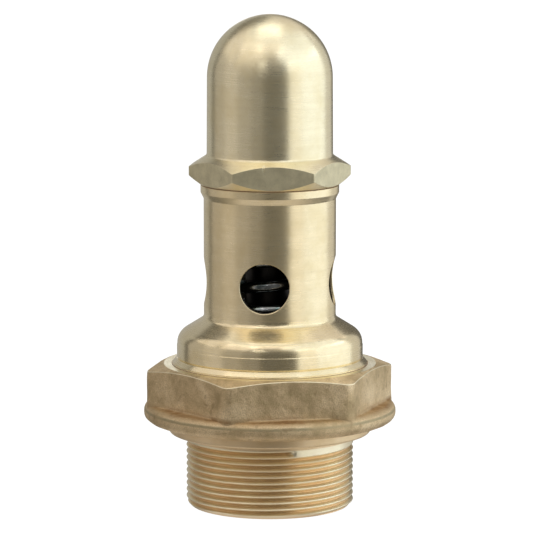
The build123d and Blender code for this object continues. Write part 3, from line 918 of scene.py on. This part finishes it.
def cap_outline(degrees):
    """The cap from the top of its dome, down the outside over the hexagon, and up the inside."""
    side = min(hex_reach(CAP_FLAT, degrees, CAP_HEX_DEG - 90, 0.0), CAP_CORNER_R)
    lower_slope = (CAP_LOWER_CORNER_Z - CAP_Z) / (CAP_CORNER_R - CAP_FOOT_R)
    upper_slope = (CAP_CONE_Z - CAP_UPPER_CORNER_Z) / (CAP_CORNER_R - CAP_CONE_R)
    lower_z = CAP_Z + (side - CAP_FOOT_R) * lower_slope
    upper_z = CAP_UPPER_CORNER_Z + (CAP_CORNER_R - side) * upper_slope
    dome_z = CAP_TOP_Z - CAP_DOME_R
    inner_r = CAP_DOME_R - CAP_WALL
    outside = []
    for k in range(33):
        turn = math.radians(90 * k / 32)
        outside.append((CAP_DOME_R * math.sin(turn), dome_z + CAP_DOME_R * math.cos(turn)))
    skirt = rounded(
        [
            (CAP_DOME_R, dome_z - 0.001, 0, 12),
            (CAP_R, CAP_FILLET_Z, CAP_FILLET, 5),
            (side, upper_z, 0.12, 5),
            (side, lower_z, 0.12, 5),
            (CAP_FOOT_R, CAP_Z, 0.2, 2),
            (CAP_THREAD_R + CAP_THREAD_ENTRY, CAP_Z, 0.0, 1),
            (CAP_THREAD_R, CAP_Z + 0.6, 0.0, 4),
            (CAP_THREAD_R, CAP_THREAD_TOP_Z, 0.0, 1),
            (inner_r, CAP_HOLLOW_Z, 0.0, 8),
            (inner_r, dome_z),
        ]
    )
    inside = []
    for k in range(1, 17):
        turn = math.radians(90 * (1 - k / 16))
        inside.append((inner_r * math.sin(turn), dome_z + inner_r * math.cos(turn)))
    return outside[:-1] + skirt + inside


def cap_nick(points):
    """One small nick in the top edge of the flat beside the front port."""
    moved = points.copy()
    at = math.radians(CAP_HEX_DEG - 90 + NICK_DEG)
    nick = np.array([CAP_FLAT * math.cos(at), CAP_FLAT * math.sin(at), NICK_Z])
    gap = np.linalg.norm(points - nick, axis=1)
    near = gap < NICK_R
    push = (1 - gap[near] / NICK_R) * NICK_DEPTH
    radius = np.hypot(points[near, 0], points[near, 1])
    moved[near, :2] *= (1 - push / radius)[:, None]
    moved[near, 2] -= push * 0.8
    return moved


def cap_paint(centres, normals):
    """0 turned, 1 spanner flats, 2 inside (painted shade, almost black)."""
    radius = np.hypot(centres[:, 0], centres[:, 1])
    height = centres[:, 2]
    flat = (np.abs(normals[:, 2]) < 0.12) & (radius > CAP_FLAT - 0.4)
    outward = (centres[:, 0] * normals[:, 0] + centres[:, 1] * normals[:, 1]) > 0
    dome_z = CAP_TOP_Z - CAP_DOME_R
    in_dome = np.linalg.norm(centres - np.array([0, 0, dome_z]), axis=1) < CAP_DOME_R - 1
    paint = np.zeros(len(centres))
    paint[flat] = 1
    paint[(radius < CAP_THREAD_R + 0.45) & ~outward & (height < dome_z + 0.2)] = 2
    paint[in_dome & (height > dome_z - 0.3)] = 2
    return paint


def make_cap():
    shell = Shell()
    shell.turned(cap_outline, COLUMNS)
    # Slot 2, the inside of the cap, takes the almost black painted-shade brass.
    cap = shell.object("cap_domed", [CAP_BRASS, FLAT_BRASS, PAINTED_SHADE_BRASS], cap_paint, cap_nick)
    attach(cap, "cap_body")
    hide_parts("cap")


# ---------------------------------------------------------------- spring


def coil_height(turns):
    """Height of the wire's middle after so many turns: close end coils, open working coils."""
    low_z = SPRING_Z + END_MIDDLE
    high_z = SPRING_TOP_Z - END_MIDDLE
    working = (high_z - low_z - 2 * END_PITCH) / SPRING_PITCH
    if turns < 1:
        return low_z + END_PITCH * turns
    if turns < 1 + working:
        return low_z + END_PITCH + SPRING_PITCH * (turns - 1)
    return high_z - END_PITCH * (2 + working - turns)


def coil_turns():
    """Number of turns of the whole spring."""
    return 2 + (SPRING_TOP_Z - SPRING_Z - 2 * END_MIDDLE - 2 * END_PITCH) / SPRING_PITCH


def wire(name, first, last):
    """The stretch of spring wire between two turn numbers."""
    mean_r = SPRING_R - WIRE_R
    sections = int((last - first) * 96)
    around = 28
    rows = []
    for k in range(sections + 1):
        turns = first + (last - first) * k / sections
        angle = math.radians(SPRING_START_DEG) + 2 * math.pi * turns
        rise = (coil_height(turns + 0.01) - coil_height(turns - 0.01)) / 0.02 / (2 * math.pi * mean_r)
        tilt = math.atan(rise)
        out = np.array([math.cos(angle), math.sin(angle), 0.0])
        up = np.array([math.sin(angle) * math.sin(tilt), -math.cos(angle) * math.sin(tilt), math.cos(tilt)])
        middle = out * mean_r + np.array([0, 0, coil_height(turns)])
        turn = np.linspace(0, 2 * math.pi, around, endpoint=False)
        ring = middle + WIRE_R * (np.outer(np.cos(turn), out) + np.outer(np.sin(turn), up))
        ring[:, 2] = np.clip(ring[:, 2], SPRING_Z, SPRING_TOP_Z)
        rows.append(ring)
    shell = Shell()
    shell.grid(rows, wrap_columns=True)
    for ring in (rows[0], rows[-1]):
        centre = np.repeat(ring.mean(0)[None], around, axis=0)
        shell.grid([ring, centre], wrap_columns=True)
    piece = shell.object(name, [SPRING_STEEL])
    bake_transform(piece)
    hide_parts("spring")


def make_spring():
    still = 1 + (SPRING_STILL_Z - SPRING_Z - END_MIDDLE - END_PITCH) / SPRING_PITCH
    wire("spring_lower", 0.0, still)
    wire("spring_upper", still, coil_turns())


# ---------------------------------------------------------------- carried-over CAD nodes


def paint_nodes():
    """Better materials for the CAD nodes whose shape stays."""
    finishes = {
        "seat_ring": STAINLESS,
        "seat_gasket": COPPER,
        "body_gasket": FIBRE,
        "valve_disc": INNER_BRASS,
        "disc_seal": RUBBER,
        "seal_retainer": STAINLESS,
        "retainer_screw": STAINLESS,
        "thrust_ball": STAINLESS,
        "disc_snap_ring": RING_STEEL,
        "spindle": STAINLESS,
        "plate_ring": RING_STEEL,
        "lower_spring_plate": BLACK_STEEL,
        # The spindle guide takes the almost black painted-shade brass.
        "spindle_guide": PAINTED_SHADE_BRASS,
        "upper_spring_plate": ZINC,
        "thrust_washer": STAINLESS,
        "adjusting_screw": INNER_BRASS,
        "lock_washer": ZINC,
        "locknut": INNER_BRASS,
        "cap_gasket": FIBRE,
    }
    for node, material in finishes.items():
        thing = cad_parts[node]
        thing.data.materials.clear()
        thing.data.materials.append(material)


# ---------------------------------------------------------------- stage, light and camera


def make_stage():
    """A plain white floor and a plain white dome round it, which the metal doesn't mirror."""
    corners = [(STAGE_HALF * x, STAGE_HALF * y, 0) for x, y in ((-1, -1), (1, -1), (1, 1), (-1, 1))]
    floor = bpy.data.meshes.new("floor")
    floor.from_pydata(corners, [], [(0, 1, 2, 3)])
    dome = bpy.data.meshes.new("dome")
    work = bmesh.new()
    bmesh.ops.create_uvsphere(work, u_segments=48, v_segments=24, radius=STAGE_HALF)
    work.to_mesh(dome)
    work.free()
    paint = Paint("stage_white", 0.0, 0.9)
    paint.shader.inputs["Base Color"].default_value = (0.06, 0.06, 0.06, 1.0)
    paint.shader.inputs["Emission Color"].default_value = (1.0, 1.0, 1.0, 1.0)
    paint.shader.inputs["Emission Strength"].default_value = 1.0
    paint.shader.inputs["Specular IOR Level"].default_value = 0.0
    for mesh in (floor, dome):
        mesh.materials.append(paint.material)
        thing = bpy.data.objects.new(mesh.name, mesh)
        bpy.context.scene.collection.objects.link(thing)
        thing.location.z = CAD_BOX[0].z - 0.0002
        thing.visible_glossy = False
        thing.visible_shadow = False


def panel(name, azimuth, elevation, distance, width, height, radiance, colour=(1.0, 1.0, 1.0)):
    """A soft box that faces the valve's middle. azimuth is to the right of the camera's side, in degrees."""
    lamp = bpy.data.lights.new(name, "AREA")
    lamp.shape = "RECTANGLE"
    lamp.size = width
    lamp.size_y = height
    lamp.energy = radiance * math.pi * width * height
    lamp.color = colour
    thing = bpy.data.objects.new(name, lamp)
    bpy.context.scene.collection.objects.link(thing)
    a = math.radians(VIEW_DEG + azimuth)
    e = math.radians(elevation)
    middle = Vector((0, 0, 0.5 * (CAD_BOX[0].z + CAD_BOX[1].z)))
    away = Vector((math.sin(a) * math.cos(e), -math.cos(a) * math.cos(e), math.sin(e)))
    thing.location = middle + away * distance
    thing.rotation_mode = "QUATERNION"
    thing.rotation_quaternion = away.to_track_quat("Z", "Y")
    thing.visible_camera = False


def arc_panel(name, first, last, radiance, colour=(1.0, 1.0, 1.0), elevation=4, height=1.1):
    """A soft box over the directions from first to last, in degrees to the right of the camera's side."""
    span = math.tan(math.radians((last - first) / 2))
    width = 2 * LAMP_DISTANCE * span * math.cos(math.radians(elevation))
    panel(name, (first + last) / 2, elevation, LAMP_DISTANCE, width, height, radiance, colour)


def make_lights():
    """Bright soft boxes on the right and overhead, dimmer ones on the left, a dark gap at the camera."""
    world = bpy.data.worlds.new("studio")
    bpy.context.scene.world = world
    world.use_nodes = True
    background = world.node_tree.nodes["Background"]
    background.inputs["Color"].default_value = (1.0, 0.97, 0.90, 1.0)
    background.inputs["Strength"].default_value = 0.13
    warm = (1.0, 0.93, 0.90)
    cool = (0.92, 0.98, 1.06)
    arc_panel("right_front", 34, 60, 0.88)
    arc_panel("right_side", 60, 120, 1.02, cool)
    arc_panel("right_back", 120, 150, 0.45)
    arc_panel("left_front", -34, -12, 0.13, warm)
    arc_panel("left_side_front", -60, -34, 0.24, warm)
    arc_panel("left_side", -90, -60, 0.40, warm)
    arc_panel("left_side_back", -120, -90, 0.28, warm)
    arc_panel("left_back", -180, -130, 0.27)
    arc_panel("over_right", 25, 125, 0.93, cool, 47, 0.62)
    arc_panel("over_left", -75, -25, 0.77, warm, 47, 0.62)
    arc_panel("over_left_back", -130, -75, 0.64, warm, 47, 0.62)
    arc_panel("over_front", -25, 25, 0.18, warm, 38, 0.34)
    arc_panel("high_front", -34, 34, 0.85, warm, 58, 0.34)
    arc_panel("over_back", 130, 180, 0.54, warm, 47, 0.62)
    panel("back", 180, 9, LAMP_DISTANCE, 0.30, 0.16, 0.75)
    panel("top", 0, 90, LAMP_DISTANCE, 1.0, 1.0, 0.62)
    panel("top_core", 180, 80, LAMP_DISTANCE, 0.5, 0.5, 0.9)
    panel("under", 0, -90, 0.6, 1.2, 1.2, 0.46, warm)
    panel("strip", -15, 30, LAMP_DISTANCE, 0.22, 0.12, 1.9)


def make_camera():
    data = bpy.data.cameras.new("camera")
    data.lens = VIEW_LENS
    data.sensor_width = 36.0
    data.clip_start = 0.05
    data.clip_end = 60.0
    camera = bpy.data.objects.new("camera", data)
    bpy.context.scene.collection.objects.link(camera)
    a = math.radians(VIEW_DEG)
    back = Vector((math.sin(a), -math.cos(a), 0))
    right = Vector((math.cos(a), math.sin(a), 0))
    camera.location = back * VIEW_DISTANCE + right * VIEW_ASIDE + Vector((0, 0, VIEW_HEIGHT))
    camera.rotation_euler = (math.radians(90 - VIEW_PITCH_DEG), 0, a)
    bpy.context.scene.camera = camera


make_camera()
make_lights()
make_stage()
make_body()
make_housing()
make_cap()
make_spring()
paint_nodes()
bpy.context.scene.view_settings.view_transform = "Standard"
